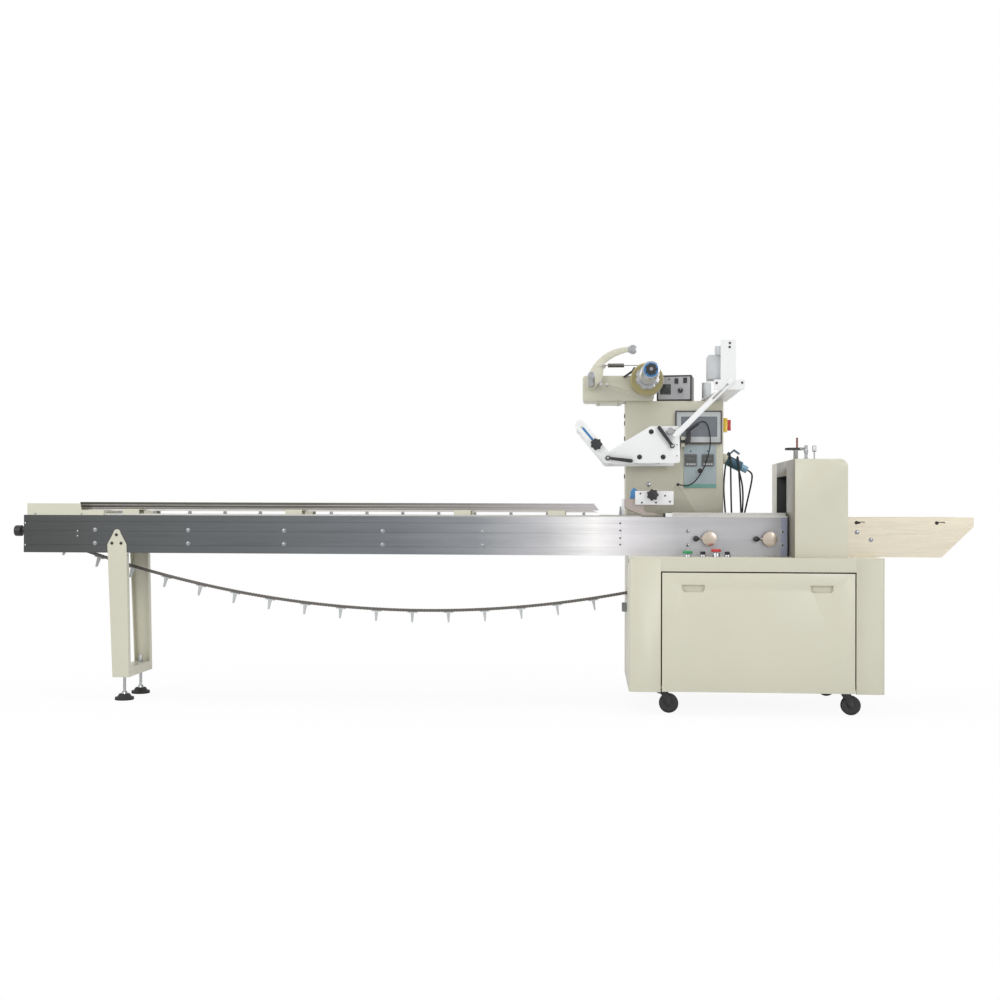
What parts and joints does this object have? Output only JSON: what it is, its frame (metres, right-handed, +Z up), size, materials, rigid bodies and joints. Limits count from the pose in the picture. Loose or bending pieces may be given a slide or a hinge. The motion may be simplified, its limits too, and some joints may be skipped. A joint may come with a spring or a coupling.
{
  "type": "horizontal flow-wrapping machine",
  "caption": "Horizontal flow-wrapping machine with a pusher-chain infeed, film reel head, end-seal hood and cabinet on casters.",
  "frame": {"origin": "centre of the bounding box's footprint, on the floor", "axes": "+X along the product's travel towards the outfeed, +Y away from the operator, +Z up"},
  "size_m": [3.78, 0.64, 1.4319],
  "materials": {
    "cream_paint": "satin",
    "extruded_aluminium": "brushed",
    "steel_sheet": "brushed",
    "chrome_steel": "polished",
    "grey_plastic": "matte",
    "dark_plastic": "matte",
    "black_rubber": "matte",
    "khaki_metal": "satin",
    "green_plastic": "gloss",
    "red_plastic": "gloss",
    "yellow_plastic": "gloss",
    "blue_plastic": "gloss",
    "belt_rubber": "matte"
  },
  "bodies": {
    "machine": {"brake_band": "steel_sheet", "cabinet_floor": "cream_paint", "cabinet_top": "cream_paint", "cabinet_walls": "cream_paint", "chain_pushers": "steel_sheet", "chain_supports": "steel_sheet", "clamp_levers": "dark_plastic", "coder_bracket": "cream_paint", "coder_link_arm": "cream_paint", "column": "cream_paint", "control_panel": "grey_plastic", "controller_box": "grey_plastic", "dancer_spring": "chrome_steel", "date_coder": "grey_plastic", "film_former": "steel_sheet", "film_guide_frame": "cream_paint", "former_bracket": "dark_plastic", "guide_rails": "extruded_aluminium", "head_box": "cream_paint", "hood_back_cheek": "cream_paint", "hood_front_cheek": "cream_paint", "hood_lid": "cream_paint", "infeed_beam": "extruded_aluminium", "infeed_brackets": "cream_paint", "infeed_deck": "extruded_aluminium", "leg_frame": "cream_paint", "levelling_feet": "black_rubber", "machine_beam": "extruded_aluminium", "machine_table": "steel_sheet", "main_switch_base": "yellow_plastic", "mains_lead": "black_rubber", "mains_plug": "blue_plastic", "outfeed_belt": "belt_rubber", "outfeed_frame": "steel_sheet", "photo_eye": "dark_plastic", "pusher_chain_return_run": "steel_sheet", "pusher_chain_top_run": "steel_sheet", "sealing_jaws": "steel_sheet", "sensor_cable": "black_rubber", "tail_adjuster": "chrome_steel", "touch_screen": "dark_plastic"},
    "access_panel": {"access_panel": "cream_paint"},
    "film_reel_arbor": {"reel_arbor": "chrome_steel", "brake_drum": "khaki_metal"},
    "dancer": {"dancer_arm": "cream_paint"},
    "slotted_guide_arm": {"slotted_guide_arm": "cream_paint"},
    "front_lever_left": {"front_lever_left": "chrome_steel"},
    "front_lever_right": {"front_lever_right": "chrome_steel"},
    "handwheel": {"handwheel": "cream_paint"},
    "start_button": {"start_button": "green_plastic"},
    "stop_button": {"stop_button": "red_plastic"},
    "main_switch": {"main_switch_handle": "red_plastic"},
    "caster_fork_front_left": {"caster_fork_front_left": "chrome_steel"},
    "caster_wheel_front_left": {"caster_wheel_front_left": "black_rubber"},
    "caster_fork_back_left": {"caster_fork_back_left": "chrome_steel"},
    "caster_wheel_back_left": {"caster_wheel_back_left": "black_rubber"},
    "caster_fork_front_right": {"caster_fork_front_right": "chrome_steel"},
    "caster_wheel_front_right": {"caster_wheel_front_right": "black_rubber"},
    "caster_fork_back_right": {"caster_fork_back_right": "chrome_steel"},
    "caster_wheel_back_right": {"caster_wheel_back_right": "black_rubber"}
  },
  "joints": [
    {"name": "panel_tilt", "type": "hinge", "parent": "machine", "child": "access_panel", "pos_m": [1.063, -0.308, 0.1], "axis": [1, 0, 0], "range_deg": [0, 80]},
    {"name": "reel_spin", "type": "hinge", "parent": "machine", "child": "film_reel_arbor", "pos_m": [0.667, 0, 1.29], "axis": [0, 1, 0], "continuous": true},
    {"name": "dancer_swing", "type": "hinge", "parent": "machine", "child": "dancer", "pos_m": [0.443, 0.1, 1.272], "axis": [0, 1, 0], "range_deg": [-4, 10], "deforming": ["dancer_spring"]},
    {"name": "guide_arm_swing", "type": "hinge", "parent": "machine", "child": "slotted_guide_arm", "pos_m": [0.506, 0, 0.959], "axis": [0, 1, 0], "range_deg": [-40, 25]},
    {"name": "front_lever_left_turn", "type": "hinge", "parent": "machine", "child": "front_lever_left", "pos_m": [0.895, -0.17, 0.653], "axis": [0, 1, 0], "range_deg": [0, 90]},
    {"name": "front_lever_right_turn", "type": "hinge", "parent": "machine", "child": "front_lever_right", "pos_m": [1.124, -0.17, 0.653], "axis": [0, 1, 0], "range_deg": [0, 90]},
    {"name": "handwheel_turn", "type": "hinge", "parent": "machine", "child": "handwheel", "pos_m": [1.248, 0, 0.98], "axis": [0, 0, 1], "continuous": true},
    {"name": "start_press", "type": "slide", "parent": "machine", "child": "start_button", "axis": [0, 0, -1], "range_m": [0, 0.003], "stiffness_N_per_m": 400, "springref_m": -0.002},
    {"name": "stop_press", "type": "slide", "parent": "machine", "child": "stop_button", "axis": [0, 0, -1], "range_m": [0, 0.003], "stiffness_N_per_m": 400, "springref_m": -0.002},
    {"name": "main_switch_turn", "type": "hinge", "parent": "machine", "child": "main_switch", "pos_m": [0.99, 0.222, 1.113], "axis": [1, 0, 0], "range_deg": [0, 90]},
    {"name": "swivel_front_left", "type": "hinge", "parent": "machine", "child": "caster_fork_front_left", "pos_m": [0.715, -0.258, 0.085], "axis": [0, 0, 1], "continuous": true},
    {"name": "roll_front_left", "type": "hinge", "parent": "caster_fork_front_left", "child": "caster_wheel_front_left", "pos_m": [0.737, -0.258, 0.036], "axis": [0, 1, 0], "continuous": true},
    {"name": "swivel_back_left", "type": "hinge", "parent": "machine", "child": "caster_fork_back_left", "pos_m": [0.715, 0.258, 0.085], "axis": [0, 0, 1], "continuous": true},
    {"name": "roll_back_left", "type": "hinge", "parent": "caster_fork_back_left", "child": "caster_wheel_back_left", "pos_m": [0.737, 0.258, 0.036], "axis": [0, 1, 0], "continuous": true},
    {"name": "swivel_front_right", "type": "hinge", "parent": "machine", "child": "caster_fork_front_right", "pos_m": [1.39, -0.258, 0.085], "axis": [0, 0, 1], "continuous": true},
    {"name": "roll_front_right", "type": "hinge", "parent": "caster_fork_front_right", "child": "caster_wheel_front_right", "pos_m": [1.412, -0.258, 0.036], "axis": [0, 1, 0], "continuous": true},
    {"name": "swivel_back_right", "type": "hinge", "parent": "machine", "child": "caster_fork_back_right", "pos_m": [1.39, 0.258, 0.085], "axis": [0, 0, 1], "continuous": true},
    {"name": "roll_back_right", "type": "hinge", "parent": "caster_fork_back_right", "child": "caster_wheel_back_right", "pos_m": [1.412, 0.258, 0.036], "axis": [0, 1, 0], "continuous": true}
  ]
}
